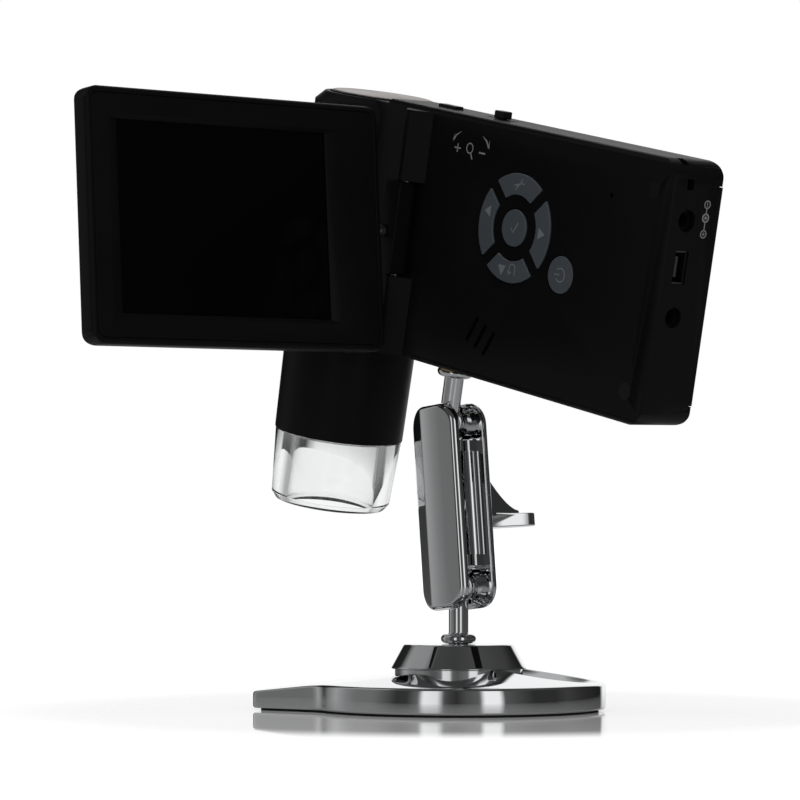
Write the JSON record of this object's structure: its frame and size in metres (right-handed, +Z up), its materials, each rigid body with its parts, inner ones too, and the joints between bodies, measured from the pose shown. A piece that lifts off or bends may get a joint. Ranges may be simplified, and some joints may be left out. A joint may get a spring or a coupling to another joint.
{
  "type": "lcd digital microscope",
  "caption": "Handheld digital microscope with a swing-out screen, key pad, focus wheel and clear nose, on a chrome ball-jointed table stand.",
  "frame": {"origin": "on the table under the stand's post, at the centre of the pad's underside", "axes": "+Z up, the base's pointed tongue along -X"},
  "size_m": [0.1515, 0.1232, 0.1584],
  "materials": {
    "chrome": "polished",
    "pad": "matt",
    "steel": "machined",
    "brass": "machined",
    "body_plastic": "fine satin texture",
    "trim_plastic": "satin",
    "key_plastic": "translucent satin",
    "board": "solder mask",
    "cell": "printed film",
    "wheel_metal": "brushed",
    "diffuser_plastic": "clear",
    "lens_glass": "clear",
    "screen_glass": "polished",
    "panel": "satin",
    "led": "clear"
  },
  "bodies": {
    "base": {"base_plate": "chrome", "base_boss": "chrome", "base_pad": "pad"},
    "lower_post": {"lower_stud": "chrome", "stud_nut": "steel"},
    "arm": {"arm_front_shell": "chrome", "clamp_screw": "steel"},
    "arm_cover": {"arm_rear_shell": "chrome"},
    "lever": {"wing_lever": "chrome"},
    "upper_post": {"upper_stud": "chrome"},
    "microscope": {"tripod_insert": "brass", "front_shell": "body_plastic", "rear_shell": "body_plastic", "battery": "cell", "main_board": "board", "dome_switches": "steel", "key_mat": "pad", "speaker": "trim_plastic", "microphone": "steel", "dc_jack": "trim_plastic", "usb_socket": "steel", "av_jack": "trim_plastic", "card_socket": "steel", "control_board": "board", "screw_plugs": "trim_plastic", "body_screws": "steel", "wheel_bearing": "trim_plastic", "guide_tube": "trim_plastic", "led_board": "board", "leds": "led", "lens_tube": "body_plastic", "diffuser": "diffuser_plastic", "hinge_pins": "steel"},
    "door": {"battery_door": "body_plastic"},
    "up_key": {"key_up": "key_plastic"},
    "right_key": {"key_right": "key_plastic"},
    "down_key": {"key_down": "key_plastic"},
    "left_key": {"key_left": "key_plastic"},
    "centre_key": {"key_ok": "key_plastic"},
    "power_key": {"key_power": "key_plastic"},
    "snapshot": {"snapshot_button": "trim_plastic"},
    "slider": {"slider_knob": "trim_plastic"},
    "focus_knob": {"focus_wheel": "wheel_metal", "focus_screw": "steel"},
    "camera": {"lens_carriage": "trim_plastic", "lens": "lens_glass", "sensor_board": "board"},
    "hinge": {"hinge_block": "body_plastic"},
    "swivel": {"swivel_shaft": "steel"},
    "lid": {"lid_back": "body_plastic", "lid_bezel": "body_plastic", "lcd_window": "screen_glass", "lcd_panel": "panel", "shaft_bracket": "steel"}
  },
  "joints": [
    {"name": "base_swivel", "type": "hinge", "parent": "base", "child": "lower_post", "pos_m": [0, 0, 0.02], "axis": [0, 0, 1], "continuous": true},
    {"name": "arm_tilt", "type": "hinge", "parent": "lower_post", "child": "arm", "pos_m": [0, 0, 0.0304], "axis": [0.6652, 0.7466, 0], "range_deg": [-35, 45]},
    {"name": "clamp_open", "type": "slide", "parent": "arm", "child": "arm_cover", "axis": [0.6652, 0.7466, 0], "range_m": [0, 0.0006]},
    {"name": "clamp_turn", "type": "hinge", "parent": "arm_cover", "child": "lever", "pos_m": [0.00384, 0.0073, 0.0507], "axis": [0.6652, 0.7466, 0], "range_deg": [0, 270]},
    {"name": "head_tilt", "type": "hinge", "parent": "arm", "child": "upper_post", "pos_m": [-0.00297, 0.00265, 0.07101], "axis": [-0.6652, -0.7466, 0], "range_deg": [-15, 40]},
    {"name": "head_swivel", "type": "hinge", "parent": "upper_post", "child": "microscope", "pos_m": [-0.00062, 0.00037, 0.08564], "axis": [0.1571, -0.1516, 0.9759], "continuous": true},
    {"name": "door_slide", "type": "slide", "parent": "microscope", "child": "door", "axis": [0.7287, -0.6492, -0.2181], "range_m": [0, 0.012]},
    {"name": "up_press", "type": "slide", "parent": "microscope", "child": "up_key", "axis": [0.6666, 0.7453, 0.0085], "range_m": [0, 0.0006], "stiffness_N_per_m": 1500, "springref_m": -0.0003},
    {"name": "right_press", "type": "slide", "parent": "microscope", "child": "right_key", "axis": [0.6666, 0.7453, 0.0085], "range_m": [0, 0.0006], "stiffness_N_per_m": 1500, "springref_m": -0.0003},
    {"name": "down_press", "type": "slide", "parent": "microscope", "child": "down_key", "axis": [0.6666, 0.7453, 0.0085], "range_m": [0, 0.0006], "stiffness_N_per_m": 1500, "springref_m": -0.0003},
    {"name": "left_press", "type": "slide", "parent": "microscope", "child": "left_key", "axis": [0.6666, 0.7453, 0.0085], "range_m": [0, 0.0006], "stiffness_N_per_m": 1500, "springref_m": -0.0003},
    {"name": "centre_press", "type": "slide", "parent": "microscope", "child": "centre_key", "axis": [0.6666, 0.7453, 0.0085], "range_m": [0, 0.0006], "stiffness_N_per_m": 1500, "springref_m": -0.0003},
    {"name": "power_press", "type": "slide", "parent": "microscope", "child": "power_key", "axis": [0.6666, 0.7453, 0.0085], "range_m": [0, 0.0006], "stiffness_N_per_m": 1500, "springref_m": -0.0003},
    {"name": "snapshot_press", "type": "slide", "parent": "microscope", "child": "snapshot", "axis": [-0.1571, 0.1516, -0.9759], "range_m": [0, 0.0005], "stiffness_N_per_m": 1500, "springref_m": -0.0003},
    {"name": "slider_move", "type": "slide", "parent": "microscope", "child": "slider", "axis": [0.7287, -0.6492, -0.2181], "range_m": [-0.0035, 0.0035]},
    {"name": "focus_turn", "type": "hinge", "parent": "microscope", "child": "focus_knob", "pos_m": [-0.02312, 0.02358, 0.15548], "axis": [0.1571, -0.1516, 0.9759], "range_deg": [-150, 150]},
    {"name": "focus_travel", "type": "slide", "parent": "microscope", "child": "camera", "axis": [0.1571, -0.1516, 0.9759], "range_m": [-0.0031, 0.0031]},
    {"name": "lid_close", "type": "hinge", "parent": "microscope", "child": "hinge", "pos_m": [-0.01478, 0.00098, 0.11838], "axis": [0.1571, -0.1516, 0.9759], "range_deg": [0, 90.7]},
    {"name": "lid_square", "type": "hinge", "parent": "hinge", "child": "swivel", "pos_m": [-0.01959, -0.00139, 0.11879], "axis": [0.6755, 0.7374, 0.0059], "range_deg": [0, 15.9]},
    {"name": "lid_swivel", "type": "hinge", "parent": "swivel", "child": "lid", "pos_m": [-0.02432, -0.00655, 0.11874], "axis": [-0.6755, -0.7374, -0.0059], "range_deg": [-90, 180]}
  ],
  "couplings": [
    {"joint": "clamp_turn", "follows": "clamp_open", "rad_per_m": 7854},
    {"joint": "focus_travel", "follows": "focus_turn", "m_per_rad": 0.001145},
    {"joint": "lid_square", "follows": "lid_close", "ratio": 0.1753}
  ]
}
